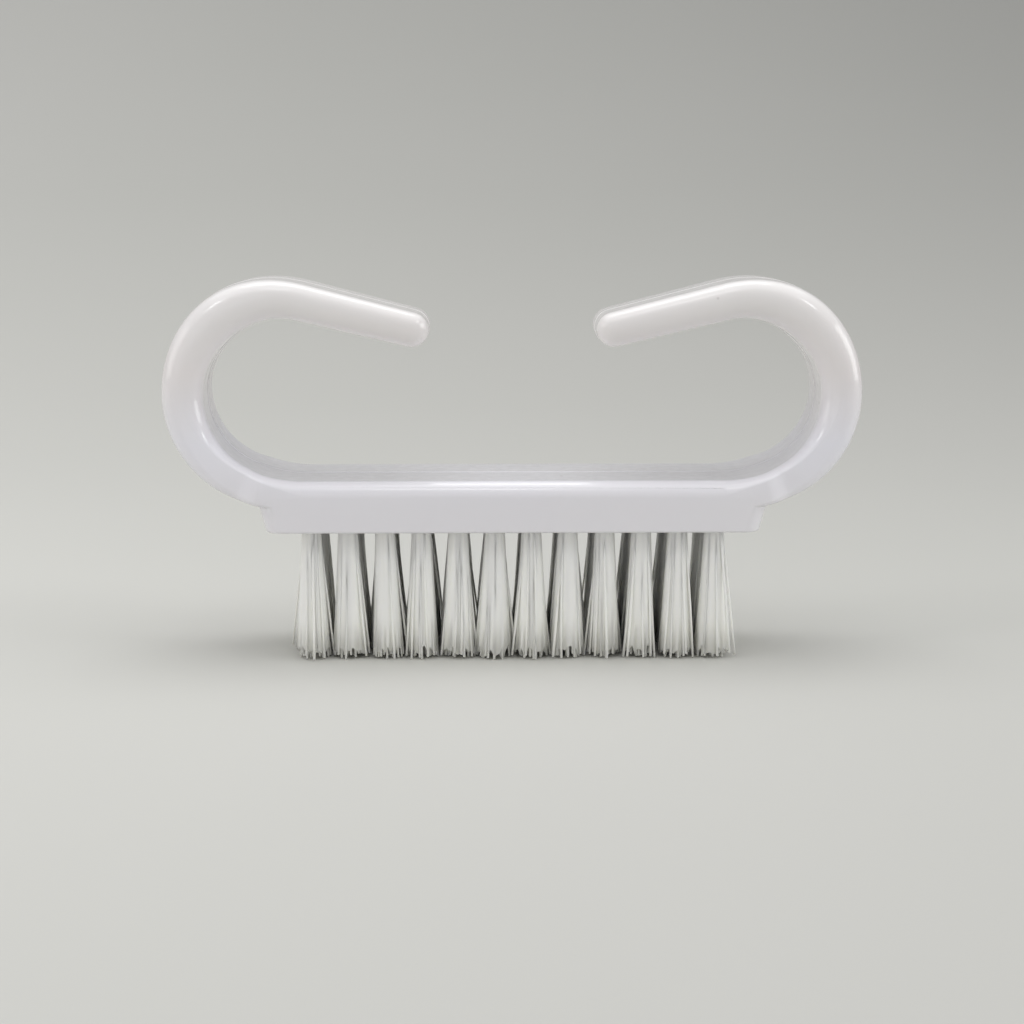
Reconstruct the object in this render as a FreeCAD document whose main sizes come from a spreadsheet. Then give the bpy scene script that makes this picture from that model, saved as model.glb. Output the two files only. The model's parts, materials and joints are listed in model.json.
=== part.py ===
import FreeCAD, Part
import math
import os

import Sketcher

# Nail brush: a moulded block that runs on into two curled finger horns, with tufts of nylon
# filaments held in blind holes by flat wire anchors.
# Frame: X along the block, Y across it, Z up, origin on the resting plane under the middle.

# Driving dimensions in millimetres, degrees and counts
SIZES = {
    # Tuft layout
    "columns": 12,
    "rows": 4,
    "column_pitch": 3.46,
    "row_pitch": 3.4,
    # Tufts and their holes
    "bristle_length": 12.2,
    "hole_diameter": 1.9,
    "hole_depth": 3.2,
    "tuft_clearance": 0.02,
    "tuft_sides": 8,
    "parting_length": 3.5,
    "slit_width": 0.5,
    "tip_spacing": 0.45,
    # Anchors
    "anchor_bite": 0.3,
    "anchor_height": 1.3,
    "anchor_thickness": 0.3,
    "fold_thickness": 0.6,
    # Block
    "web": 1.6,
    "side_margin": 1.2,
    "end_margin": 3.2,
    "end_slope": 1.3,
    "corner_radius": 1.1,
    "top_radius": 1.5,
    "bottom_bevel": 0.25,
    # Horns
    "horn_overhang": 8.55,
    "horn_depth": 10.8,
    "horn_thickness": 3.9,
    "bend_radius": 8.85,
    "root_radius": 15.7,
    "root_rise": 0.5,
    "root_thickness": 2.7,
    "root_shoulder": 0.05,
    "root_bulge": 1.3,
    "crown_thickness": 4.3,
    "neck_depth": 10.5,
    "neck_thickness": 3.5,
    "tip_gap": 16.0,
    "tip_slope": 13.8,
    "tip_depth": 9.8,
    "tip_thickness": 3.1,
}

# Sizes and places that follow from the driving dimensions
LAYOUT = {
    "first_column": "-(Sizes.columns - 1) / 2 * Sizes.column_pitch",
    "first_row": "-(Sizes.rows - 1) / 2 * Sizes.row_pitch",
    "block_width": "-2 * first_row + Sizes.hole_diameter + 2 * Sizes.side_margin",
    "bottom_length": "-2 * first_column + Sizes.hole_diameter + 2 * Sizes.end_margin",
    "top_length": "bottom_length + 2 * Sizes.end_slope",
    "block_thickness": "Sizes.hole_depth + Sizes.web",
    "block_top": "Sizes.bristle_length + block_thickness",
    # Centreline of the right horn: an arc out of the block, the bend, and a straight to the tip
    "root_height": "block_top - Sizes.root_thickness / 2",
    "root_centre": "root_height + Sizes.root_radius",
    "bend_x": "top_length / 2 + Sizes.horn_overhang - Sizes.horn_thickness / 2 - Sizes.bend_radius",
    "bend_height": "root_height + Sizes.root_rise + Sizes.bend_radius",
    "radius_step": "Sizes.root_radius - Sizes.bend_radius",
    "root_x": "bend_x - sqrt(radius_step ^ 2 - (root_centre - bend_height) ^ 2)",
    "root_angle": "asin((bend_x - root_x) / radius_step) / 1 deg",
    "outer_x": "bend_x + Sizes.bend_radius",
    "straight_x": "bend_x - Sizes.bend_radius * sin(Sizes.tip_slope)",
    "straight_height": "bend_height + Sizes.bend_radius * cos(Sizes.tip_slope)",
    "tip_x": "(Sizes.tip_gap + Sizes.tip_thickness) / 2",
    "tip_height": "straight_height - (straight_x - tip_x) * tan(Sizes.tip_slope)",
    "root_depth": "block_width - 2 * Sizes.root_shoulder",
    # Tufts and anchors, measured from the mouth of their hole
    "tuft_radius": "Sizes.hole_diameter / 2 - Sizes.tuft_clearance",
    "anchor_length": "Sizes.hole_diameter + 2 * Sizes.anchor_bite",
    "anchor_top": "Sizes.hole_depth - Sizes.fold_thickness",
    "anchor_bottom": "anchor_top - Sizes.anchor_height",
    "least_pitch": "min(Sizes.column_pitch; Sizes.row_pitch)",
    "tip_radius": "(least_pitch - Sizes.tip_spacing) / 2",
    "flat_share": "cos(180 / Sizes.tuft_sides)",
    "flare_angle": "atan((tip_radius - tuft_radius) * flat_share / Sizes.bristle_length)",
}

# Stations of the horn's loft: up the root arc, to the outermost point, over the thick crown of
# the bend, and down to the straight
ROOT_SPANS = 3
LOWER_SPANS = 5
CROWN_SPANS = 4
UPPER_SPANS = 8

START, END, CENTRE = range(1, 4)
ORIGIN = (-1, 1)
HORIZONTAL_AXIS, VERTICAL_AXIS = -1, -2


def fill_sheet(doc, name, cells, prefix=""):
    sheet = doc.addObject("Spreadsheet::Sheet", name)
    for row, (alias, content) in enumerate(cells.items(), start=1):
        sheet.set(f"A{row}", alias)
        sheet.set(f"B{row}", f"{prefix}{content}")
        sheet.setAlias(f"B{row}", alias)
    doc.recompute()
    return sheet


def origin_feature(body, role):
    return next(f for f in body.Origin.OriginFeatures if f.Role == role)


def new_sketch(body, name, plane):
    sketch = body.newObject("Sketcher::SketchObject", name)
    sketch.AttachmentSupport = [(origin_feature(body, plane), "")]
    sketch.MapMode = "FlatFace"
    return sketch


def number(sketch, expression):
    return float(sketch.evalExpression(expression))


def point(sketch, x, y):
    return FreeCAD.Vector(number(sketch, x), number(sketch, y), 0)


def relation(sketch, kind, *places):
    sketch.addConstraint(Sketcher.Constraint(kind, *places))


def dimension(sketch, expression, kind, *places):
    value = number(sketch, expression)
    index = sketch.addConstraint(Sketcher.Constraint(kind, *places, value))
    sketch.setExpression(f"Constraints[{index}]", expression)


def edges_of(feature, wanted):
    edges = feature.Shape.Edges
    return [f"Edge{i}" for i, edge in enumerate(edges, start=1) if wanted(edge)]


def on_level(level):
    return lambda edge: all(abs(v.Z - level) < 1e-6 for v in edge.Vertexes)


def upright(piece):
    return piece.BoundBox.ZLength > 1e-6


def fillet(body, name, radius, base, wanted):
    feature = body.newObject("PartDesign::Fillet", name)
    feature.Base = (base, edges_of(base, wanted))
    feature.setExpression("Radius", radius)
    body.Document.recompute()
    return feature


def block_pad(body):
    # Side view of the block: a trapezium whose ends lean out towards the top
    sketch = new_sketch(body, "block_side", "XZ_Plane")
    low_left = point(sketch, "-Layout.bottom_length / 2", "Sizes.bristle_length")
    low_right = point(sketch, "Layout.bottom_length / 2", "Sizes.bristle_length")
    high_right = point(sketch, "Layout.top_length / 2", "Layout.block_top")
    high_left = point(sketch, "-Layout.top_length / 2", "Layout.block_top")
    corners = [low_left, low_right, high_right, high_left]
    for first, second in zip(corners, corners[1:] + corners[:1]):
        sketch.addGeometry(Part.LineSegment(first, second), False)
    bottom, right, top, left = range(4)
    for line, following in ((bottom, right), (right, top), (top, left), (left, bottom)):
        relation(sketch, "Coincident", line, END, following, START)
    for line in (bottom, top):
        relation(sketch, "Symmetric", line, START, line, END, VERTICAL_AXIS)
    dimension(sketch, "Layout.bottom_length", "DistanceX", bottom, START, bottom, END)
    dimension(sketch, "Layout.top_length", "DistanceX", top, END, top, START)
    dimension(sketch, "Sizes.bristle_length", "DistanceY", *ORIGIN, bottom, START)
    dimension(sketch, "Layout.block_thickness", "DistanceY", bottom, START, top, END)
    pad = body.newObject("PartDesign::Pad", "block")
    pad.Profile = sketch
    pad.SideType = "Symmetric"
    pad.setExpression("Length", "Layout.block_width")
    body.Document.recompute()
    return pad


def tilted_sketch(body, name, x, height, tilt):
    # A sketch across the horn: its x axis lies along Y, its y axis points to the finger side
    sketch = new_sketch(body, name, "YZ_Plane")
    lean = f"rotation(vector(-1; 0; 0); {tilt})"
    sketch.setExpression("AttachmentOffset", f"placement(vector(0; {height}; {x}); {lean})")
    return sketch


def band_section(sketch, depth, thickness, bulge):
    # Flat inner and outer faces, with sides that bulge in an arc between them
    flat = f"(({depth}) / 2 - ({bulge}))"
    half = f"(({thickness}) / 2)"
    centre = f"({flat} - ({half} ^ 2 - ({bulge}) ^ 2) / 2 / ({bulge}))"
    x, y = number(sketch, flat), number(sketch, half)
    side = number(sketch, f"({depth}) / 2")
    lower_left, lower_right = FreeCAD.Vector(-x, -y, 0), FreeCAD.Vector(x, -y, 0)
    upper_left, upper_right = FreeCAD.Vector(-x, y, 0), FreeCAD.Vector(x, y, 0)
    sketch.addGeometry(Part.LineSegment(lower_left, lower_right), False)
    sketch.addGeometry(Part.Arc(lower_right, FreeCAD.Vector(side, 0, 0), upper_right), False)
    sketch.addGeometry(Part.LineSegment(upper_right, upper_left), False)
    sketch.addGeometry(Part.Arc(upper_left, FreeCAD.Vector(-side, 0, 0), lower_left), False)
    lower, right, upper, left = range(4)
    for edge, following in ((lower, right), (right, upper), (upper, left), (left, lower)):
        relation(sketch, "Coincident", edge, END, following, START)
    for line in (lower, upper):
        relation(sketch, "Symmetric", line, START, line, END, VERTICAL_AXIS)
    relation(sketch, "Symmetric", lower, END, upper, START, HORIZONTAL_AXIS)
    dimension(sketch, flat, "DistanceX", *ORIGIN, lower, END)
    dimension(sketch, thickness, "DistanceY", lower, END, upper, START)
    dimension(sketch, centre, "DistanceX", *ORIGIN, right, CENTRE)
    dimension(sketch, centre, "DistanceX", left, CENTRE, *ORIGIN)


def ease(share):
    return share * share * (3 - 2 * share)


def between(first, second, share):
    return f"({first}) + {share:.6f} * (({second}) - ({first}))"


def horn_stations():
    # Place, tilt and section of each station along the horn's centreline
    root = ("Layout.root_depth", "Sizes.root_thickness", "Sizes.root_bulge")
    bend = ("Sizes.horn_depth", "Sizes.horn_thickness", "Sizes.horn_thickness / 2")
    crown = ("Sizes.horn_depth", "Sizes.crown_thickness", "Sizes.crown_thickness / 2")
    neck = ("Sizes.neck_depth", "Sizes.neck_thickness", "Sizes.neck_thickness / 2")
    tip = ("Sizes.tip_depth", "Sizes.tip_thickness", "Sizes.tip_thickness / 2")
    rising = ROOT_SPANS + LOWER_SPANS
    for k in range(rising + UPPER_SPANS + 1):
        if k < ROOT_SPANS:
            tilt = between("0", "Layout.root_angle", k / ROOT_SPANS)
            x = f"Layout.root_x + Sizes.root_radius * sin({tilt})"
            height = f"Layout.root_centre - Sizes.root_radius * cos({tilt})"
        else:
            if k < rising:
                tilt = between("Layout.root_angle", "90", (k - ROOT_SPANS) / LOWER_SPANS)
            else:
                tilt = between("90", "180 + Sizes.tip_slope", (k - rising) / UPPER_SPANS)
            x = f"Layout.bend_x + Sizes.bend_radius * sin({tilt})"
            height = f"Layout.bend_height - Sizes.bend_radius * cos({tilt})"
        if k < rising:
            first, second, share = root, bend, k / rising
        elif k < rising + CROWN_SPANS:
            first, second, share = bend, crown, (k - rising) / CROWN_SPANS
        else:
            first, second = crown, neck
            share = (k - rising - CROWN_SPANS) / (UPPER_SPANS - CROWN_SPANS)
        section = [between(a, b, ease(share)) for a, b in zip(first, second)]
        yield x, height, tilt, section
    yield "Layout.tip_x", "Layout.tip_height", "180 + Sizes.tip_slope", tip


def horn_band(body):
    # The band is lofted straight from station to station
    sketches = []
    for k, (x, height, tilt, section) in enumerate(horn_stations()):
        sketch = tilted_sketch(body, f"horn_station_{k:02d}", x, height, tilt)
        band_section(sketch, *section)
        sketches.append(sketch)
    body.Document.recompute()
    band = body.newObject("PartDesign::AdditiveLoft", "horn_band")
    band.Profile = sketches[0]
    band.Sections = [(sketch, [""]) for sketch in sketches[1:]]
    band.Ruled = True
    body.Document.recompute()
    return band


def horn_tip(body):
    # Half of the last section, turned about its own length into a round end
    tilt = "180 + Sizes.tip_slope"
    sketch = tilted_sketch(body, "tip_section", "Layout.tip_x", "Layout.tip_height", tilt)
    flat = "(Sizes.tip_depth - Sizes.tip_thickness) / 2"
    radius = "Sizes.tip_thickness / 2"
    x, r = number(sketch, flat), number(sketch, radius)
    side = FreeCAD.Vector(0, 0, 1)
    right_circle = Part.Circle(FreeCAD.Vector(x, 0, 0), side, r)
    left_circle = Part.Circle(FreeCAD.Vector(-x, 0, 0), side, r)
    sketch.addGeometry(
        Part.LineSegment(FreeCAD.Vector(-x - r, 0, 0), FreeCAD.Vector(x + r, 0, 0)), False
    )
    sketch.addGeometry(Part.ArcOfCircle(right_circle, 0, math.pi / 2), False)
    sketch.addGeometry(Part.LineSegment(FreeCAD.Vector(x, r, 0), FreeCAD.Vector(-x, r, 0)), False)
    sketch.addGeometry(Part.ArcOfCircle(left_circle, math.pi / 2, math.pi), False)
    axis, right, ridge, left = range(4)
    for edge, following in ((axis, right), (left, axis)):
        relation(sketch, "Coincident", edge, END, following, START)
    for edge, following in ((right, ridge), (ridge, left)):
        relation(sketch, "Tangent", edge, END, following, START)
    relation(sketch, "Symmetric", axis, START, axis, END, *ORIGIN)
    relation(sketch, "Horizontal", axis)
    for arc in (right, left):
        relation(sketch, "PointOnObject", arc, CENTRE, HORIZONTAL_AXIS)
    dimension(sketch, flat, "DistanceX", *ORIGIN, right, CENTRE)
    dimension(sketch, flat, "DistanceX", left, CENTRE, *ORIGIN)
    dimension(sketch, radius, "Radius", right)
    body.Document.recompute()
    tip = body.newObject("PartDesign::Revolution", "horn_tip")
    tip.Profile = sketch
    tip.ReferenceAxis = (sketch, ["H_Axis"])
    tip.Angle = 180
    body.Document.recompute()
    return tip


def mirrored_horn(body, originals):
    mirror = body.newObject("PartDesign::Mirrored", "second_horn")
    mirror.Originals = originals
    mirror.MirrorPlane = (origin_feature(body, "YZ_Plane"), [""])
    body.Tip = mirror
    body.Document.recompute()
    return mirror


def level_sketch(body, name, height, x="0", y="0"):
    # A level sketch whose own origin is at x and y
    sketch = new_sketch(body, name, "XY_Plane")
    level = f"placement(vector({x}; {y}; {height}); rotation(vector(0; 0; 1); 0))"
    sketch.setExpression("AttachmentOffset", level)
    return sketch


def round_outline(sketch, radius):
    # A regular outline with a flat towards +X
    sides = int(number(sketch, "Sizes.tuft_sides"))
    reach = number(sketch, radius)
    corners = []
    for k in range(sides + 1):
        angle = math.pi * (2 * k - 1) / sides
        corners.append(FreeCAD.Vector(reach * math.cos(angle), reach * math.sin(angle), 0))
    for first, second in zip(corners, corners[1:]):
        sketch.addGeometry(Part.LineSegment(first, second), False)
    middle, up = FreeCAD.Vector(0, 0, 0), FreeCAD.Vector(0, 0, 1)
    circle = sketch.addGeometry(Part.Circle(middle, up, reach), True)
    relation(sketch, "Coincident", circle, CENTRE, *ORIGIN)
    dimension(sketch, radius, "Radius", circle)
    for side in range(sides):
        relation(sketch, "Coincident", side, END, (side + 1) % sides, START)
        relation(sketch, "PointOnObject", side, START, circle)
    for side in range(1, sides):
        relation(sketch, "Equal", 0, side)
    relation(sketch, "Vertical", 0)
    return sketch


def slot_outline(sketch, length, width):
    # A rectangle about the sketch's origin
    x, y = number(sketch, length) / 2, number(sketch, width) / 2
    corners = [FreeCAD.Vector(*place, 0) for place in ((-x, -y), (x, -y), (x, y), (-x, y))]
    for first, second in zip(corners, corners[1:] + corners[:1]):
        sketch.addGeometry(Part.LineSegment(first, second), False)
    lower, right, upper, left = range(4)
    for edge, following in ((lower, right), (right, upper), (upper, left), (left, lower)):
        relation(sketch, "Coincident", edge, END, following, START)
    for edge in (lower, upper):
        relation(sketch, "Symmetric", edge, START, edge, END, VERTICAL_AXIS)
    relation(sketch, "Symmetric", right, START, right, END, HORIZONTAL_AXIS)
    dimension(sketch, length, "DistanceX", lower, START, lower, END)
    dimension(sketch, width, "DistanceY", right, START, right, END)
    return sketch


def raised(body, kind, name, sketch, height):
    # A pad or pocket upwards from a level sketch
    body.Document.recompute()
    feature = body.newObject(kind, name)
    feature.Profile = sketch
    feature.setExpression("Length", height)
    feature.Reversed = kind == "PartDesign::Pocket"
    body.Document.recompute()
    return feature


def tuft_holes(body):
    # One blind hole, with the slot that its anchor bites into the wall, repeated in a grid
    kind = "PartDesign::Pocket"
    place = ("Sizes.bristle_length", "Layout.first_column", "Layout.first_row")
    mouth = round_outline(level_sketch(body, "hole_outline", *place), "Sizes.hole_diameter / 2")
    hole = raised(body, kind, "tuft_hole", mouth, "Sizes.hole_depth")
    slit = level_sketch(body, "bite_outline", *place)
    slot_outline(slit, "Layout.anchor_length", "Sizes.anchor_thickness")
    bite = raised(body, kind, "anchor_bite", slit, "Layout.anchor_top")
    pattern = body.newObject("PartDesign::LinearPattern", "tuft_holes")
    pattern.Originals = [hole, bite]
    pattern.Direction = (origin_feature(body, "X_Axis"), [""])
    pattern.setExpression("Length", "-2 * Layout.first_column")
    pattern.setExpression("Occurrences", "Sizes.columns")
    pattern.Direction2 = (origin_feature(body, "Y_Axis"), [""])
    pattern.setExpression("Length2", "-2 * Layout.first_row")
    pattern.setExpression("Occurrences2", "Sizes.rows")
    body.Tip = pattern
    body.Document.recompute()
    return pattern


def make_handle(doc):
    body = doc.addObject("PartDesign::Body", "handle")
    pad = block_pad(body)
    bottom = number(pad, "Sizes.bristle_length")
    top = number(pad, "Layout.block_top")
    corners = fillet(body, "block_corners", "Sizes.corner_radius", pad, upright)
    top_edges = fillet(body, "top_edges", "Sizes.top_radius", corners, on_level(top))
    bevel = body.newObject("PartDesign::Chamfer", "bottom_edges")
    bevel.Base = (top_edges, edges_of(top_edges, on_level(bottom)))
    bevel.setExpression("Size", "Sizes.bottom_bevel")
    doc.recompute()
    horn = [horn_band(body), horn_tip(body)]
    mirrored_horn(body, horn)
    tuft_holes(body)
    return body


def slit_outline(sketch, top, bottom, width):
    # A narrow wedge, upside down, that parts two locks of filaments
    high, low = number(sketch, top), number(sketch, bottom)
    half = number(sketch, width) / 2
    apex = FreeCAD.Vector(0, high, 0)
    left, right = FreeCAD.Vector(-half, low, 0), FreeCAD.Vector(half, low, 0)
    for first, second in ((apex, left), (left, right), (right, apex)):
        sketch.addGeometry(Part.LineSegment(first, second), False)
    falling, base, rising = range(3)
    for side, following in ((falling, base), (base, rising), (rising, falling)):
        relation(sketch, "Coincident", side, END, following, START)
    relation(sketch, "Symmetric", base, START, base, END, VERTICAL_AXIS)
    relation(sketch, "PointOnObject", falling, START, VERTICAL_AXIS)
    dimension(sketch, f"-({top})", "DistanceY", falling, START, *ORIGIN)
    dimension(sketch, f"-({bottom})", "DistanceY", base, START, *ORIGIN)
    dimension(sketch, width, "DistanceX", base, START, base, END)
    return sketch


def flaring_bundle(body):
    # The free part of the tuft, drafted so that it widens from the mouth to the tips
    doc = body.Document
    mouth = round_outline(level_sketch(body, "mouth_outline", "0"), "Layout.tuft_radius")
    bundle = raised(body, "PartDesign::Pad", "bundle", mouth, "Sizes.bristle_length")
    bundle.Reversed = True
    doc.recompute()
    faces = enumerate(bundle.Shape.Faces, start=1)
    flare = body.newObject("PartDesign::Draft", "flare")
    flare.Base = (bundle, [f"Face{i}" for i, face in faces if upright(face)])
    flare.NeutralPlane = (origin_feature(body, "XY_Plane"), [""])
    flare.setExpression("Angle", "Layout.flare_angle")
    doc.recompute()


def lock_slits(body):
    # Wedge-shaped slits through the axis part the bundle into locks of filaments
    doc = body.Document
    sketch = new_sketch(body, "slit_outline", "XZ_Plane")
    turn = "rotation(vector(0; 1; 0); 180 / Sizes.tuft_sides)"
    sketch.setExpression("AttachmentOffset", f"placement(vector(0; 0; 0); {turn})")
    slit_outline(sketch, "-Sizes.parting_length", "-Sizes.bristle_length", "Sizes.slit_width")
    doc.recompute()
    slit = body.newObject("PartDesign::Pocket", "slit")
    slit.Profile = sketch
    slit.SideType = "Symmetric"
    slit.setExpression("Length", "3 * Layout.tip_radius")
    doc.recompute()
    slits = body.newObject("PartDesign::PolarPattern", "slits")
    slits.Originals = [slit]
    slits.Axis = (origin_feature(body, "Z_Axis"), [""])
    slits.setExpression("Angle", "180 - 360 / Sizes.tuft_sides")
    slits.setExpression("Occurrences", "Sizes.tuft_sides / 2")
    body.Tip = slits
    doc.recompute()


def make_tuft(doc):
    # The tuft that all the others repeat, with the mouth of its hole at the origin
    body = doc.addObject("PartDesign::Body", "tuft")
    flaring_bundle(body)
    lock_slits(body)
    packed = round_outline(level_sketch(body, "root_outline", "0"), "Layout.tuft_radius")
    raised(body, "PartDesign::Pad", "root", packed, "Sizes.hole_depth")
    window = level_sketch(body, "window_outline", "Layout.anchor_bottom")
    slot_outline(window, "Sizes.hole_diameter", "Sizes.anchor_thickness")
    raised(body, "PartDesign::Pocket", "anchor_window", window, "Sizes.anchor_height")
    return body


def place_at(obj, x, y, z):
    spot = f"placement(vector({x}; {y}; {z}); rotation(vector(0; 0; 1); 0))"
    obj.setExpression("Placement", spot)


def make_tufts(doc, rows, columns):
    tuft = make_tuft(doc)
    tufts = []
    for row in range(rows):
        for column in range(columns):
            link = doc.addObject("App::Link", f"tuft_r{row + 1}_c{column + 1:02d}")
            link.LinkedObject = tuft
            x = f"Layout.first_column + {column} * Sizes.column_pitch"
            y = f"Layout.first_row + {row} * Sizes.row_pitch"
            place_at(link, x, y, "Sizes.bristle_length")
            tufts.append(link)
    return tufts


def make_anchors(doc, rows, columns):
    # One group of flat anchors for each row of tufts
    groups = []
    for row in range(rows):
        anchors = []
        for column in range(columns):
            anchor = doc.addObject("Part::Box", f"anchor_r{row + 1}_c{column + 1:02d}")
            anchor.setExpression("Length", "Layout.anchor_length")
            anchor.setExpression("Width", "Sizes.anchor_thickness")
            anchor.setExpression("Height", "Sizes.anchor_height")
            x = f"Layout.first_column + {column} * Sizes.column_pitch - Layout.anchor_length / 2"
            y = f"Layout.first_row + {row} * Sizes.row_pitch - Sizes.anchor_thickness / 2"
            place_at(anchor, x, y, "Sizes.bristle_length + Layout.anchor_bottom")
            anchors.append(anchor)
        group = doc.addObject("Part::Compound", f"anchors_row_{row + 1}")
        group.Links = anchors
        groups.append(group)
    return groups


def build():
    doc = FreeCAD.newDocument("nail_brush")
    fill_sheet(doc, "Sizes", SIZES)
    layout = fill_sheet(doc, "Layout", LAYOUT, "=")
    rows = int(number(layout, "Sizes.rows"))
    columns = int(number(layout, "Sizes.columns"))
    nodes = [make_handle(doc)]
    nodes += make_tufts(doc, rows, columns)
    nodes += make_anchors(doc, rows, columns)
    doc.recompute()
    for obj in doc.Objects:
        if "Invalid" in obj.State or "Error" in obj.State:
            raise RuntimeError(f"{obj.Label} did not build: {obj.State}")
    os.makedirs("parts", exist_ok=True)
    for node in nodes:
        shape = Part.getShape(node)
        if shape.isNull() or not shape.isValid():
            raise RuntimeError(f"{node.Label} has no valid shape")
        shape.exportStep(f"parts/{node.Label}.step")


if __name__ == "__main__":
    build()
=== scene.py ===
import json
import math
import random

import bmesh
import bpy
from mathutils import Matrix, Vector

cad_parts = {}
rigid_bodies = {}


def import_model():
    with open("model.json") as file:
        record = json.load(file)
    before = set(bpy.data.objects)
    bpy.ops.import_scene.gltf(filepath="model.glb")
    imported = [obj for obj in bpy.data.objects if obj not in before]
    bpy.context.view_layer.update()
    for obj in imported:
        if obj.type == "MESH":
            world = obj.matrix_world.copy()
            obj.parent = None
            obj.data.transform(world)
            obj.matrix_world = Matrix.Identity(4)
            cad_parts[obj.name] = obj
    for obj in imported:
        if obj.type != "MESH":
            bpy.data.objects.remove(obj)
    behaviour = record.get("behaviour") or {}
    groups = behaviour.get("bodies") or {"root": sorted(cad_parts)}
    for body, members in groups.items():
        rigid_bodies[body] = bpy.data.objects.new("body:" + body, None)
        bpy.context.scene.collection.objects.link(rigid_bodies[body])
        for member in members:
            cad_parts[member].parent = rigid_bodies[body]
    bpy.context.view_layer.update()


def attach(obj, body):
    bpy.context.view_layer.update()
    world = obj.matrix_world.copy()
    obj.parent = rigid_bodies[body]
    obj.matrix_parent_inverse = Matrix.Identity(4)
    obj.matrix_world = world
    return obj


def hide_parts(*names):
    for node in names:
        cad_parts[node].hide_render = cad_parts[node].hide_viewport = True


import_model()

# Lengths are in millimetres and angles in degrees, up to the stage's lamps and camera
MM = 0.001

# Block
BLOCK_BOTTOM = 12.2
BLOCK_TOP = 17.0
BLOCK_WIDTH = 14.5
BOTTOM_LENGTH = 46.36
TOP_LENGTH = 48.96
EDGE_ROUND, EDGE_SEGMENTS = 1.5, 10
BOTTOM_ROUND, BOTTOM_SEGMENTS = 0.22, 4

# Centreline of a horn
ROOT_X, ROOT_Z, ROOT_RADIUS = 19.661, 31.35, 15.7
ROOT_ANGLE, ROOT_SHARE = 22.03, 0.375
BEND_X, BEND_Z, BEND_RADIUS = 22.23, 25.0, 8.85
TIP_X, TIP_SLOPE, TIP_ROUNDING = 9.55, 13.8, 84
ROOT_SINK = 0.004
ROOT_STEPS, LOWER_STEPS, UPPER_STEPS, STRAIGHT_STEPS, ROUND_STEPS = 24, 24, 34, 10, 8

# Sections of a horn: depth, thickness, and the rounding of the finger side and the outer side
ROOT_SECTION = (14.49, 2.7, 1.5, 0.15)
BEND_SECTION = (10.8, 3.9, 1.9, 1.75)
CROWN_SECTION = (10.8, 4.3, 2.1, 1.95)
NECK_SECTION = (10.5, 3.5, 1.7, 1.55)
TIP_SECTION = (9.9, 3.3, 1.6, 1.45)
ROUND_POINTS, LEAST_ROUND = 8, 0.02

# The horns leave the block flush with its sides, step in round its corners, and have a crease
# along their inner edges. The crease's angle is in radians, and its limit a share of the rounding
FLUSH_SHARE, CORNER_SHARE, CORNER_STEP = 0.25, 0.14, 1.5
CREASE_ANGLE, CREASE_WIDTH, CREASE_LIMIT, CREASE_FADE = 0.72, 0.08, 0.25, 0.7

# Seam where the two halves of the mould met, and its start above the underside
SEAM_WIDTH, SEAM_HEIGHT, SEAM_START = 0.11, 0.05, 0.3

# How near a point or a face has to be to count as part of an edge, a level or the seam
NEAR_EDGE, NEAR_LEVEL, NEAR_SEAM = 1, 0.01, 1e-4
FACING_DOWN = -0.99
SLIVER = 0.03
SHARP_ANGLE = 32

# Tufts
COLUMNS, ROWS = 12, 4
COLUMN_PITCH, ROW_PITCH = 3.46, 3.4
HOLE_RADIUS, HOLE_DEPTH, HOLE_SIDES = 0.95, 3.2, 20
TUFT_ROOT = BLOCK_BOTTOM + 1.2
LEAN_SPREAD, FLARE_RANGE, WIDEST_FLARE = 0.1, (0.92, 1.1), 2.2
ROW_SEED = 1000

# Core of a tuft: height, radius and raggedness of its rings
CORE_RINGS = (
    (13.4, 0.93, 0),
    (12.2, 0.95, 0),
    (8, 1.17, 0),
    (4, 1.4, 0),
    (0.4, 1.6, 0.95),
    (0.9, 0.7, 0.5),
)
CORE_FLUTES, FLUTE_RANGE = 36, (0.94, 1.0)

# Filaments. The golden angle, in radians, spreads their roots evenly
FILAMENTS, FILAMENT_RADIUS, THICKNESS_RANGE = 46, 0.118, (0.86, 1.1)
FILAMENT_SIDES, FILAMENT_STEPS = 5, 5
GOLDEN_ANGLE, ANGLE_SPREAD = 2.39996, 0.3
FAN_RANGE, STRAY_SHARE, STRAY_SPREAD, USUAL_SPREAD = (1.35, 2.05), 0.12, 0.75, 0.14
LOWEST_TIP, TIP_SPREAD, HIGHEST_TIP = 0.02, 0.3, 1.0
BOW_RANGE, BOW_SPREAD = (-0.14, 0.1), 0.05

# Studio paper: a floor that curves up behind the brush
PAPER_WIDTH, PAPER_DEPTH, PAPER_BACK = 3000, 1000, 110
PAPER_CURVE, PAPER_STEPS = 900, 40

# Softboxes, in metres and watts: name, place, aim, size, power, and colour where it isn't white
SOFTBOXES = (
    ("ceiling", (-0.03, 0.05, 0.6), (-0.03, 0.05, 0), (1.0, 0.8), 1.85),
    ("overhead", (-0.03, 0.12, 0.57), (0, 0, 0), (0.4, 0.2), 0.5),
    ("front", (-0.22, -0.42, 0.09), (0, 0, 0.01), (0.35, 0.2), 0.08, (1, 0.98, 0.96)),
    ("front_top", (-0.04, -0.25, 0.45), (0, 0, 0.02), (0.12, 0.06), 0.07),
    ("left_top", (-0.3, -0.2, 0.34), (0, 0, 0.02), (0.08, 0.08), 0.1),
    ("right_top", (0.3, -0.2, 0.34), (0, 0, 0.02), (0.08, 0.08), 0.1),
    ("left_side", (-0.5, -0.1, 0.17), (0, 0, 0.02), (0.3, 0.25), 0.3, (1, 0.97, 0.95)),
    ("right_side", (0.5, -0.06, 0.15), (0, 0, 0.02), (0.3, 0.25), 0.62),
)
SKY_COLOUR, SKY_STRENGTH = (0.98, 0.985, 1, 1), 0.53

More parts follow.
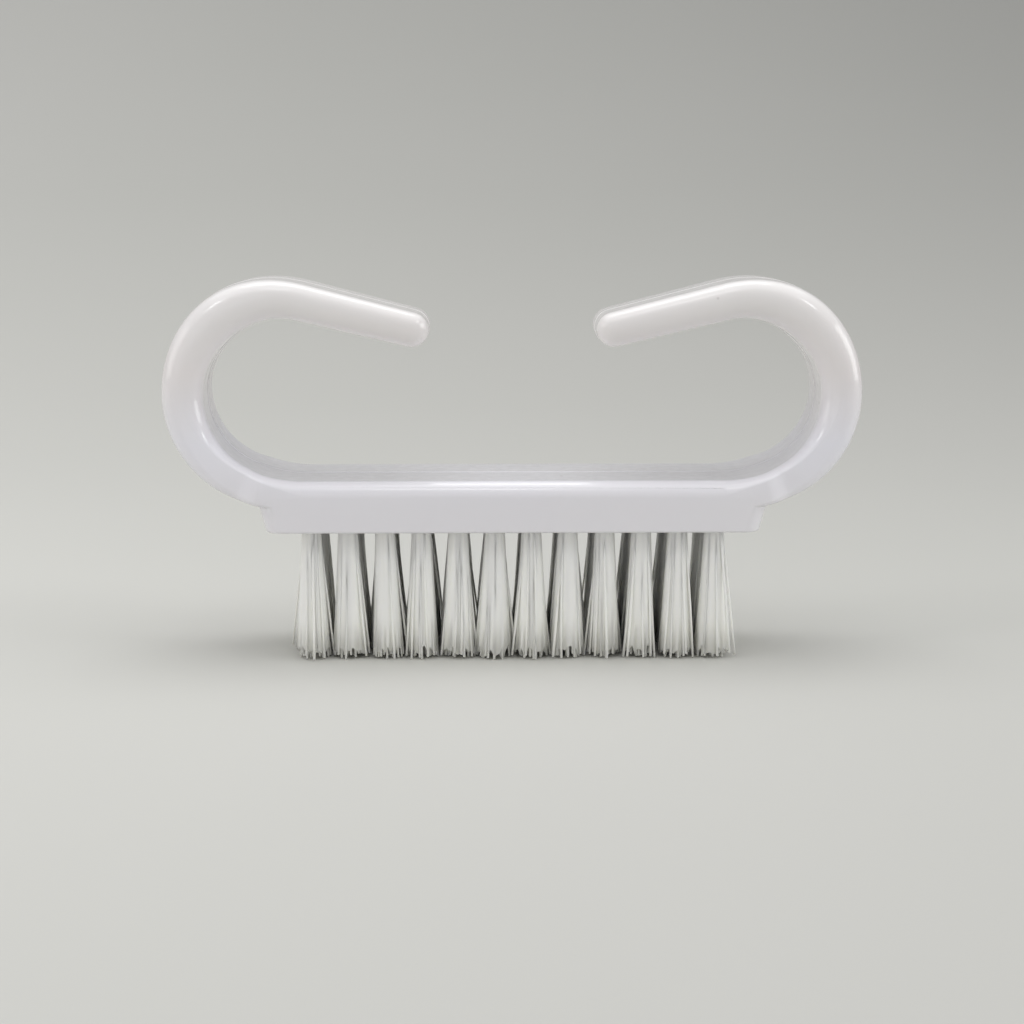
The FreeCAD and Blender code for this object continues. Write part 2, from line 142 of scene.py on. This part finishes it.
# Camera: place in metres, and half the picture and the focal length in pixels
CAMERA_PLACE = (-0.00354, -0.21308, 0.04691)
CAMERA_DIP, CAMERA_TURN = 9.02, -0.95
HALF_PICTURE, FOCAL_LENGTH = 512, 2230


def linked_object(name, bm):
    mesh = bpy.data.meshes.new(name)
    bm.to_mesh(mesh)
    bm.free()
    linked = bpy.data.objects.new(name, mesh)
    bpy.context.scene.collection.objects.link(linked)
    return linked


def new_piece(name, bm, material):
    piece = linked_object(name, bm)
    piece.data.transform(Matrix.Scale(MM, 4))
    piece.data.materials.append(material)
    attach(piece, "root")
    return piece


def edges_of(verts):
    return list({e for v in verts for e in v.link_edges})


def extruded(bm, edges):
    # The new points, and the edges between them
    grown = bmesh.ops.extrude_edge_only(bm, edges=edges)["geom"]
    verts = [g for g in grown if isinstance(g, bmesh.types.BMVert)]
    grown_edges = [g for g in grown if isinstance(g, bmesh.types.BMEdge)]
    return verts, [e for e in grown_edges if all(v in verts for v in e.verts)]


# Handle

def block_shell():
    bm = bmesh.new()
    bmesh.ops.create_cube(bm, size=1)
    bmesh.ops.scale(bm, vec=(TOP_LENGTH, BLOCK_WIDTH, BLOCK_TOP - BLOCK_BOTTOM), verts=bm.verts)
    bmesh.ops.translate(bm, vec=(0, 0, (BLOCK_TOP + BLOCK_BOTTOM) / 2), verts=bm.verts)
    low = [v for v in bm.verts if v.co.z < BLOCK_BOTTOM + NEAR_EDGE]
    bmesh.ops.scale(bm, vec=(BOTTOM_LENGTH / TOP_LENGTH, 1, 1), verts=low)
    rounded = [e for e in bm.edges if max(v.co.z for v in e.verts) > BLOCK_TOP - NEAR_EDGE]
    bmesh.ops.bevel(bm, geom=rounded, offset=EDGE_ROUND, segments=EDGE_SEGMENTS, profile=0.5,
                    affect="EDGES", material=-1)
    rim = [e for e in bm.edges if max(v.co.z for v in e.verts) < BLOCK_BOTTOM + NEAR_LEVEL]
    bmesh.ops.bevel(bm, geom=rim, offset=BOTTOM_ROUND, segments=BOTTOM_SEGMENTS, profile=0.5,
                    affect="EDGES", material=-1)
    return bm


def ease(share):
    return share * share * (3 - 2 * share)


def mixed(first, second, share):
    return tuple(a + (b - a) * share for a, b in zip(first, second))


def horn_stations():
    # Place, direction, section and crease at each step along the right horn
    rising = ROOT_STEPS + LOWER_STEPS
    for k in range(rising):
        if k < ROOT_STEPS:
            along = ROOT_SHARE * k / ROOT_STEPS
            turn = math.radians(ROOT_ANGLE) * k / ROOT_STEPS
            x = ROOT_X + ROOT_RADIUS * math.sin(turn)
            z = ROOT_Z - ROOT_RADIUS * math.cos(turn) - ROOT_SINK
        else:
            share = (k - ROOT_STEPS) / LOWER_STEPS
            along = ROOT_SHARE + (1 - ROOT_SHARE) * share
            turn = math.radians(ROOT_ANGLE + (90 - ROOT_ANGLE) * share)
            x = BEND_X + BEND_RADIUS * math.sin(turn)
            z = BEND_Z - BEND_RADIUS * math.cos(turn)
        past = max(0, along - FLUSH_SHARE)
        depth = ROOT_SECTION[0] - CORNER_STEP * ease(min(1, past / CORNER_SHARE))
        narrowing = BEND_SECTION[0] - ROOT_SECTION[0] + CORNER_STEP
        depth += narrowing * ease(past / (1 - FLUSH_SHARE))
        section = (depth, *mixed(ROOT_SECTION, BEND_SECTION, ease(along))[1:])
        yield x, z, turn, section, CREASE_ANGLE * math.sin(math.pi * along ** CREASE_FADE)
    for k in range(UPPER_STEPS + 1):
        share = k / UPPER_STEPS
        turn = math.radians(90 + (90 + TIP_SLOPE) * share)
        x = BEND_X + BEND_RADIUS * math.sin(turn)
        z = BEND_Z - BEND_RADIUS * math.cos(turn)
        if share < 0.5:
            section = mixed(BEND_SECTION, CROWN_SECTION, ease(2 * share))
        else:
            section = mixed(CROWN_SECTION, NECK_SECTION, ease(2 * share - 1))
        yield x, z, turn, section, 0
    start_x, start_z = x, z
    for k in range(1, STRAIGHT_STEPS + 1):
        share = k / STRAIGHT_STEPS
        x = start_x + (TIP_X - start_x) * share
        z = start_z + (TIP_X - start_x) * share * math.tan(math.radians(TIP_SLOPE))
        yield x, z, turn, mixed(NECK_SECTION, TIP_SECTION, share), 0
    depth, thickness, finger_round, outer_round = TIP_SECTION
    radius = thickness / 2
    for k in range(1, ROUND_STEPS + 1):
        lift = math.radians(TIP_ROUNDING) * k / ROUND_STEPS
        reach = radius * math.sin(lift)
        squeeze = radius * (1 - math.cos(lift))
        rounds = [max(r - squeeze, LEAST_ROUND) for r in (finger_round, outer_round)]
        section = (depth - 2 * squeeze, thickness - 2 * squeeze, *rounds)
        yield x + reach * math.cos(turn), z + reach * math.sin(turn), turn, section, 0


def section_outline(depth, thickness, finger_round, outer_round, crease):
    # Once round the section, from the middle of the outer face by way of the finger side
    side, half = depth / 2, thickness / 2
    flank = []
    for k in range(ROUND_POINTS + 1):
        angle = math.pi / 2 * (k / ROUND_POINTS - 1)
        across = side - outer_round * (1 - math.cos(angle))
        flank.append((across, outer_round * (1 + math.sin(angle)) - half))
    drop = finger_round * (1 - math.sin(crease))
    flank.append((side, half - drop - min(CREASE_WIDTH, finger_round * CREASE_LIMIT)))
    start = crease + min(CREASE_WIDTH / finger_round, CREASE_LIMIT)
    for k in range(ROUND_POINTS + 1):
        angle = start + (math.pi / 2 - start) * k / ROUND_POINTS
        across = side - finger_round * (math.cos(crease) - math.cos(angle))
        flank.append((across, half - finger_round * (1 - math.sin(angle))))
    far_flank = [(-across, inward) for across, inward in reversed(flank)]
    return [(0, -half), *flank, (0, half), *far_flank]


def horn_shell(side):
    bm = bmesh.new()
    last = None
    for x, z, turn, section, crease in horn_stations():
        outline = section_outline(*section, crease)
        ring = bmesh.ops.create_circle(bm, segments=len(outline), radius=1)["verts"]
        for vert, (across, inward) in zip(ring, outline):
            vert.co = (side * (x - inward * math.sin(turn)), across, z + inward * math.cos(turn))
        edges = edges_of(ring)
        if last is None:
            bmesh.ops.contextual_create(bm, geom=edges)
        else:
            bmesh.ops.bridge_loops(bm, edges=last + edges)
        last = edges
    bmesh.ops.contextual_create(bm, geom=last)
    bmesh.ops.recalc_face_normals(bm, faces=bm.faces)
    return bm


def moulded_shell():
    # The block and both horns as one skin
    block = linked_object("block_shell", block_shell())
    sides = ((1, 1), (2, -1))
    horns = [linked_object(f"horn_shell_{n}", horn_shell(side)) for n, side in sides]
    for horn in horns:
        join = block.modifiers.new(horn.name, "BOOLEAN")
        join.operation = "UNION"
        join.solver = "EXACT"
        join.object = horn
    evaluated = block.evaluated_get(bpy.context.evaluated_depsgraph_get())
    bm = bmesh.new()
    bm.from_mesh(evaluated.to_mesh())
    evaluated.to_mesh_clear()
    # Slivers along the joints would show in the gloss
    bmesh.ops.remove_doubles(bm, verts=bm.verts, dist=SLIVER)
    bmesh.ops.dissolve_degenerate(bm, dist=SLIVER / 2, edges=bm.edges)
    bmesh.ops.delete(bm, geom=[e for e in bm.edges if e.is_wire], context="EDGES")
    for shell in [block] + horns:
        mesh = shell.data
        bpy.data.objects.remove(shell)
        bpy.data.meshes.remove(mesh)
    return bm


def tuft_places():
    for row in range(ROWS):
        for column in range(COLUMNS):
            x = (column - (COLUMNS - 1) / 2) * COLUMN_PITCH
            y = (row - (ROWS - 1) / 2) * ROW_PITCH
            yield row, column, x, y


def drill_holes(bm):
    # The underside is filled again round the rims of the holes
    level = BLOCK_BOTTOM + NEAR_LEVEL
    downward = [f for f in bm.faces if f.normal.z < FACING_DOWN]
    underside = [f for f in downward if f.calc_center_median().z < level]
    bmesh.ops.delete(bm, geom=underside, context="FACES_ONLY")
    outline = [e for e in bm.edges if e.is_boundary]
    rims = []
    for _, _, x, y in tuft_places():
        place = Matrix.Translation((x, y, BLOCK_BOTTOM))
        rim = bmesh.ops.create_circle(bm, segments=HOLE_SIDES, radius=HOLE_RADIUS, matrix=place)
        rims.append(edges_of(rim["verts"]))
    every_rim = [e for rim in rims for e in rim]
    bmesh.ops.triangle_fill(bm, edges=outline + every_rim, use_beauty=True, normal=(0, 0, -1))
    for rim in rims:
        top, loop = extruded(bm, rim)
        bmesh.ops.translate(bm, vec=(0, 0, HOLE_DEPTH), verts=top)
        bmesh.ops.contextual_create(bm, geom=loop)
    bmesh.ops.recalc_face_normals(bm, faces=bm.faces)


def raise_seam(bm):
    # A hair-fine ridge round the middle of the moulding
    for y in (-SEAM_WIDTH, 0, SEAM_WIDTH):
        everything = list(bm.verts) + list(bm.edges) + list(bm.faces)
        bmesh.ops.bisect_plane(bm, geom=everything, plane_co=(0, y, 0), plane_no=(0, 1, 0))
    bm.normal_update()
    start = BLOCK_BOTTOM + SEAM_START
    crest = [v for v in bm.verts if abs(v.co.y) < NEAR_SEAM and v.co.z > start]
    lifts = [(v, v.normal * SEAM_HEIGHT) for v in crest]
    for vert, lift in lifts:
        vert.co += lift


def handle(material):
    bm = moulded_shell()
    raise_seam(bm)
    drill_holes(bm)
    for face in bm.faces:
        face.smooth = True
    piece = new_piece("brush_handle", bm, material)
    piece.data.set_sharp_from_angle(angle=math.radians(SHARP_ANGLE))
    weighted = piece.modifiers.new("even_normals", "WEIGHTED_NORMAL")
    weighted.keep_sharp = True
    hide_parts("handle")


# Bristles

def scatter(rng, spread):
    return Vector((rng.gauss(0, spread), rng.gauss(0, spread), 0))


def filament(bm, root, tip, bow, radius, shade):
    # One nylon filament from its root to its cut tip, bowed a little on the way
    tone = bm.verts.layers.float["shade"]
    verts = bmesh.ops.create_circle(bm, segments=FILAMENT_SIDES, radius=radius)["verts"]
    edges = edges_of(verts)
    bmesh.ops.translate(bm, vec=root, verts=verts)
    bmesh.ops.contextual_create(bm, geom=edges)
    for vert in verts:
        vert[tone] = shade
    before = root
    for k in range(1, FILAMENT_STEPS + 1):
        share = k / FILAMENT_STEPS
        verts, edges = extruded(bm, edges)
        here = root.lerp(tip, share) + bow * math.sin(math.pi * share)
        bmesh.ops.translate(bm, vec=here - before, verts=verts)
        for vert in verts:
            vert[tone] = shade
        before = here
    bmesh.ops.contextual_create(bm, geom=edges)


def packed_core(bm, x, y, lean, flare, rng):
    # The filaments inside the tuft, pressed into one fluted bundle
    tone = bm.verts.layers.float["shade"]
    verts = bmesh.ops.create_circle(bm, segments=CORE_FLUTES, radius=1)["verts"]
    bmesh.ops.translate(bm, vec=(x, y, TUFT_ROOT), verts=verts)
    flutes = [rng.uniform(*FLUTE_RANGE) for _ in verts]
    shades = [rng.random() for _ in verts]
    edges = edges_of(verts)
    bmesh.ops.contextual_create(bm, geom=edges)
    for height, radius, ragged in CORE_RINGS:
        share = 1 - height / BLOCK_BOTTOM
        middle = Vector((x, y, 0)) + lean * max(share, 0)
        for k, vert in enumerate(verts):
            angle = 2 * math.pi * k / CORE_FLUTES
            reach = radius * flutes[k] * (1 + (flare - 1) * max(share, 0))
            level = height + ragged * shades[k]
            vert.co = middle + Vector((reach * math.cos(angle), reach * math.sin(angle), level))
            vert[tone] = shades[k]
        if (height, radius, ragged) == CORE_RINGS[-1]:
            break
        ring, edges = extruded(bm, edges)
        # The new points are taken in the order of the old ones
        links = [[e.other_vert(v) for e in v.link_edges] for v in verts]
        verts = [next(v for v in near if v in ring) for near in links]
    bmesh.ops.contextual_create(bm, geom=edges)


def tuft(row, column, x, y, material):
    rng = random.Random(ROW_SEED * row + column)
    bm = bmesh.new()
    bm.verts.layers.float.new("shade")
    lean = scatter(rng, LEAN_SPREAD)
    flare = rng.uniform(*FLARE_RANGE)
    packed_core(bm, x, y, lean, flare, rng)
    for k in range(FILAMENTS):
        # Roots are packed evenly over the hole, tips fan out from them
        reach = math.sqrt((k + 0.5) / FILAMENTS)
        angle = k * GOLDEN_ANGLE + rng.uniform(-ANGLE_SPREAD, ANGLE_SPREAD)
        out = Vector((math.cos(angle), math.sin(angle), 0))
        root = Vector((x, y, TUFT_ROOT)) + out * reach * (HOLE_RADIUS - 2 * FILAMENT_RADIUS)
        stray = scatter(rng, STRAY_SPREAD if rng.random() < STRAY_SHARE else USUAL_SPREAD)
        fan = lean + out * flare * reach * rng.uniform(*FAN_RANGE) + stray
        fan.length = min(fan.length, WIDEST_FLARE)
        level = min(LOWEST_TIP + abs(rng.gauss(0, TIP_SPREAD)), HIGHEST_TIP)
        tip = Vector((x, y, level)) + fan
        bow = out * rng.uniform(*BOW_RANGE) + scatter(rng, BOW_SPREAD)
        radius = FILAMENT_RADIUS * rng.uniform(*THICKNESS_RANGE)
        filament(bm, root, tip, bow, radius, rng.random())
    bmesh.ops.recalc_face_normals(bm, faces=bm.faces)
    for face in bm.faces:
        face.smooth = True
    name = f"r{row + 1}_c{column + 1:02d}"
    piece = new_piece(f"filaments_{name}", bm, material)
    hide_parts(f"tuft_{name}")


# Materials

def principled(name):
    material = bpy.data.materials.new(name)
    material.use_nodes = True
    nodes = material.node_tree.nodes
    return material, nodes, material.node_tree.links, nodes["Principled BSDF"]


def noise(nodes, links, place, scale, detail):
    texture = nodes.new("ShaderNodeTexNoise")
    texture.inputs["Detail"].default_value = detail
    links.new(place, texture.inputs["Vector"])
    links.new(scale, texture.inputs["Scale"])
    return texture.outputs["Fac"]


def remap(nodes, links, value, low, high, first, second):
    node = nodes.new("ShaderNodeMapRange")
    links.new(value, node.inputs["Value"])
    limits = {"From Min": low, "From Max": high, "To Min": first, "To Max": second}
    for name, number in limits.items():
        node.inputs[name].default_value = number
    return node.outputs["Result"]


def sums(nodes, links, operation, first, second):
    node = nodes.new("ShaderNodeMath")
    node.operation = operation
    for socket, value in zip(node.inputs, (first, second)):
        if isinstance(value, (int, float)):
            socket.default_value = value
        else:
            links.new(value, socket)
    return node.outputs["Value"]


def ramp(nodes, links, value, stops):
    node = nodes.new("ShaderNodeValToRGB")
    links.new(value, node.inputs["Fac"])
    marks = node.color_ramp.elements
    while len(marks) < len(stops):
        marks.new(0.5)
    for mark, (position, colour) in zip(marks, stops):
        mark.position = position
        mark.color = (*colour, 1)
    return node.outputs["Color"]


def blend(nodes, links, share, first, second, kind="MIX"):
    node = nodes.new("ShaderNodeMix")
    node.data_type = "RGBA"
    node.blend_type = kind
    # Factor and the two colours of the mix
    sockets = (node.inputs[0], node.inputs[6], node.inputs[7])
    for socket, value in zip(sockets, (share, first, second)):
        if isinstance(value, (int, float)):
            socket.default_value = value
        elif isinstance(value, tuple):
            socket.default_value = (*value, 1)
        else:
            links.new(value, socket)
    return node.outputs[2]


def surface_group():
    # Uneven tone, fine grain, scuffs and specks of dirt, for every material of the brush
    group = bpy.data.node_groups.new("worn_surface", "ShaderNodeTree")
    add = group.interface.new_socket
    add("Vector", in_out="INPUT", socket_type="NodeSocketVector")
    for name in ("Tone Scale", "Grain Scale", "Scuff Scale", "Speck Scale"):
        add(name, in_out="INPUT", socket_type="NodeSocketFloat")
    for name in ("Tone", "Grain", "Scuffs", "Specks"):
        add(name, in_out="OUTPUT", socket_type="NodeSocketFloat")
    nodes, links = group.nodes, group.links
    given = nodes.new("NodeGroupInput").outputs
    result = nodes.new("NodeGroupOutput").inputs
    place = given["Vector"]
    links.new(noise(nodes, links, place, given["Tone Scale"], 3), result["Tone"])
    links.new(noise(nodes, links, place, given["Grain Scale"], 2), result["Grain"])
    drawn = nodes.new("ShaderNodeMapping")
    drawn.inputs["Rotation"].default_value = (0.2, 0.35, 0.15)
    drawn.inputs["Scale"].default_value = (0.05, 1, 1)
    links.new(place, drawn.inputs["Vector"])
    streaks = noise(nodes, links, drawn.outputs["Vector"], given["Scuff Scale"], 4)
    links.new(remap(nodes, links, streaks, 0.58, 0.72, 0, 1), result["Scuffs"])
    cells = nodes.new("ShaderNodeTexVoronoi")
    links.new(place, cells.inputs["Vector"])
    links.new(given["Speck Scale"], cells.inputs["Scale"])
    specks = remap(nodes, links, cells.outputs["Distance"], 0.02, 0.045, 1, 0)
    links.new(specks, result["Specks"])
    return group


def worn(nodes, links, group, tone, grain, scuff, speck):
    place = nodes.new("ShaderNodeTexCoord").outputs["Object"]
    node = nodes.new("ShaderNodeGroup")
    node.node_tree = group
    links.new(place, node.inputs["Vector"])
    scales = {"Tone Scale": tone, "Grain Scale": grain, "Scuff Scale": scuff, "Speck Scale": speck}
    for name, scale in scales.items():
        node.inputs[name].default_value = scale
    return place, node.outputs


def bumped(nodes, links, shader, height, depth):
    bump = nodes.new("ShaderNodeBump")
    bump.inputs["Distance"].default_value = depth
    links.new(height, bump.inputs["Height"])
    links.new(bump.outputs["Normal"], shader.inputs["Normal"])


def white_plastic(group):
    material, nodes, links, shader = principled("glossy_white_plastic")
    place, surface = worn(nodes, links, group, 38, 1100, 420, 190)
    # Colour by height is painted light: lilac on the block and lower horns, warm pink higher up
    # and lightest at the crowns, as painted reflection tints and a painted lighter top
    split = nodes.new("ShaderNodeSeparateXYZ")
    links.new(place, split.inputs["Vector"])
    height = remap(nodes, links, split.outputs["Z"], 0.012, 0.036, 0, 1)
    stops = (
        (0.1, (0.80, 0.785, 0.82)),
        (0.35, (0.795, 0.79, 0.845)),
        (0.62, (0.82, 0.78, 0.775)),
        (0.95, (0.845, 0.82, 0.805)),
    )
    colour = ramp(nodes, links, height, stops)
    cloud = remap(nodes, links, surface["Tone"], 0.35, 0.65, 0, 0.35)
    colour = blend(nodes, links, cloud, colour, (0.84, 0.825, 0.84))
    scuffs = sums(nodes, links, "MULTIPLY", surface["Scuffs"], 0.05)
    colour = blend(nodes, links, scuffs, colour, (0.74, 0.735, 0.74))
    specks = sums(nodes, links, "MULTIPLY", surface["Specks"], 0.6)
    colour = blend(nodes, links, specks, colour, (0.42, 0.40, 0.38))
    links.new(colour, shader.inputs["Base Color"])
    polish = remap(nodes, links, surface["Grain"], 0.3, 0.7, 0.17, 0.25)
    dulled = sums(nodes, links, "MULTIPLY", surface["Scuffs"], 0.03)
    links.new(sums(nodes, links, "ADD", polish, dulled), shader.inputs["Roughness"])
    bumped(nodes, links, shader, surface["Grain"], 0.000006)
    shader.inputs["Subsurface Weight"].default_value = 0.2
    shader.inputs["Subsurface Radius"].default_value = (1, 0.95, 0.95)
    shader.inputs["Subsurface Scale"].default_value = 0.0012
    shader.inputs["Coat Weight"].default_value = 0.5
    shader.inputs["Coat Roughness"].default_value = 0.05
    return material


def nylon(group):
    material, nodes, links, shader = principled("off_white_nylon")
    place, surface = worn(nodes, links, group, 160, 2600, 1500, 260)
    # Colour by height: the filaments grey towards their roots, painted shade where they are packed
    # under the block
    split = nodes.new("ShaderNodeSeparateXYZ")
    links.new(place, split.inputs["Vector"])
    height = remap(nodes, links, split.outputs["Z"], 0, BLOCK_BOTTOM * MM, 0, 1)
    stops = (
        (0.0, (0.97, 0.965, 0.89)),
        (0.55, (0.95, 0.95, 0.905)),
        (0.8, (0.9, 0.9, 0.875)),
        (1.0, (0.82, 0.82, 0.8)),
    )
    colour = ramp(nodes, links, height, stops)
    each = nodes.new("ShaderNodeAttribute")
    each.attribute_name = "shade"
    paler = remap(nodes, links, each.outputs["Fac"], 0, 1, 0.0, 0.3)
    colour = blend(nodes, links, paler, colour, (0.98, 0.98, 0.95))
    stain = sums(nodes, links, "MULTIPLY", surface["Tone"], 0.12)
    colour = blend(nodes, links, stain, colour, (0.86, 0.85, 0.74))
    links.new(colour, shader.inputs["Base Color"])
    polish = remap(nodes, links, surface["Grain"], 0.3, 0.7, 0.38, 0.52)
    links.new(polish, shader.inputs["Roughness"])
    bumped(nodes, links, shader, surface["Scuffs"], 0.000005)
    shader.inputs["Subsurface Weight"].default_value = 0.5
    shader.inputs["Subsurface Radius"].default_value = (1, 1, 0.92)
    shader.inputs["Subsurface Scale"].default_value = 0.0002
    return material


def anchor_wire(group):
    material, nodes, links, shader = principled("drawn_brass_wire")
    _, surface = worn(nodes, links, group, 900, 5000, 2400, 800)
    stops = ((0.35, (0.56, 0.40, 0.17)), (0.65, (0.72, 0.55, 0.27)))
    colour = ramp(nodes, links, surface["Tone"], stops)
    scuffs = sums(nodes, links, "MULTIPLY", surface["Scuffs"], 0.5)
    colour = blend(nodes, links, scuffs, colour, (0.82, 0.68, 0.42))
    links.new(colour, shader.inputs["Base Color"])
    polish = remap(nodes, links, surface["Grain"], 0.3, 0.7, 0.28, 0.5)
    links.new(polish, shader.inputs["Roughness"])
    bumped(nodes, links, shader, surface["Scuffs"], 0.00001)
    shader.inputs["Metallic"].default_value = 1
    return material


def studio_paper(group):
    material, nodes, links, shader = principled("studio_paper")
    place, surface = worn(nodes, links, group, 6, 1500, 300, 90)
    stops = ((0.3, (0.61, 0.61, 0.575)), (0.7, (0.625, 0.622, 0.59)))
    colour = ramp(nodes, links, surface["Tone"], stops)
    split = nodes.new("ShaderNodeSeparateXYZ")
    links.new(place, split.inputs["Vector"])
    # Painted shade: the paper darkens towards the back and up the sweep, and a little towards the
    # front, as light falls off
    away = remap(nodes, links, split.outputs["Y"], -0.1, 0.52, 0, 1)
    paper_painted_falloff = ((0, 0.94), (0.12, 1), (0.22, 1), (0.48, 0.88), (0.76, 0.79), (1, 0.75))
    shade = ramp(nodes, links, away, [(spot, (level, level, level)) for spot, level in paper_painted_falloff])
    colour = blend(nodes, links, 1, colour, shade, "MULTIPLY")
    # Painted light: the paper is lighter on the left and darker on the right, as if lit more from
    # the left
    paper_painted_side_light = remap(nodes, links, split.outputs["X"], -0.25, 0.25, 1.22, 0.7)
    colour = blend(nodes, links, 1, colour, paper_painted_side_light, "MULTIPLY")
    links.new(colour, shader.inputs["Base Color"])
    shader.inputs["Roughness"].default_value = 0.6
    return material


# Stage, light and camera

def floor_and_backdrop(material):
    bm = bmesh.new()
    bmesh.ops.create_grid(bm, x_segments=1, y_segments=1, size=1)
    bmesh.ops.scale(bm, vec=(PAPER_WIDTH / 2, PAPER_DEPTH / 2, 1), verts=bm.verts)
    bmesh.ops.translate(bm, vec=(0, PAPER_BACK - PAPER_DEPTH / 2, 0), verts=bm.verts)
    far = [e for e in bm.edges if all(v.co.y > 0 for v in e.verts)]
    bmesh.ops.spin(bm, geom=far, cent=(0, PAPER_BACK, PAPER_CURVE), axis=(1, 0, 0),
                   angle=math.radians(90), steps=PAPER_STEPS)
    for face in bm.faces:
        face.smooth = True
    sweep = linked_object("studio_sweep", bm)
    sweep.data.transform(Matrix.Scale(MM, 4))
    sweep.data.materials.append(material)


def softbox(name, place, aim, size, power, colour=(1, 1, 1)):
    light = bpy.data.lights.new(name, "AREA")
    light.shape = "RECTANGLE"
    light.size, light.size_y = size
    light.energy = power
    light.color = colour
    lamp = bpy.data.objects.new(name, light)
    lamp.location = place
    lamp.rotation_euler = (Vector(aim) - Vector(place)).to_track_quat("-Z", "Y").to_euler()
    bpy.context.scene.collection.objects.link(lamp)


def sky():
    world = bpy.data.worlds.new("studio")
    world.use_nodes = True
    background = world.node_tree.nodes["Background"]
    background.inputs["Color"].default_value = SKY_COLOUR
    background.inputs["Strength"].default_value = SKY_STRENGTH
    bpy.context.scene.world = world


def photo_camera():
    camera = bpy.data.cameras.new("photo_camera")
    camera.angle = 2 * math.atan(HALF_PICTURE / FOCAL_LENGTH)
    eye = bpy.data.objects.new("photo_camera", camera)
    eye.location = CAMERA_PLACE
    eye.rotation_euler = (math.radians(90 - CAMERA_DIP), 0, math.radians(CAMERA_TURN))
    bpy.context.scene.collection.objects.link(eye)
    bpy.context.scene.camera = eye
    bpy.context.scene.view_settings.view_transform = "Standard"


wear = surface_group()
handle(white_plastic(wear))
bristle = nylon(wear)
for row, column, x, y in tuft_places():
    tuft(row, column, x, y, bristle)
wire = anchor_wire(wear)
for row in range(ROWS):
    anchors = bpy.data.objects[f"anchors_row_{row + 1}"]
    anchors.data.materials.clear()
    anchors.data.materials.append(wire)
floor_and_backdrop(studio_paper(wear))
sky()
for box in SOFTBOXES:
    softbox(*box)
photo_camera()
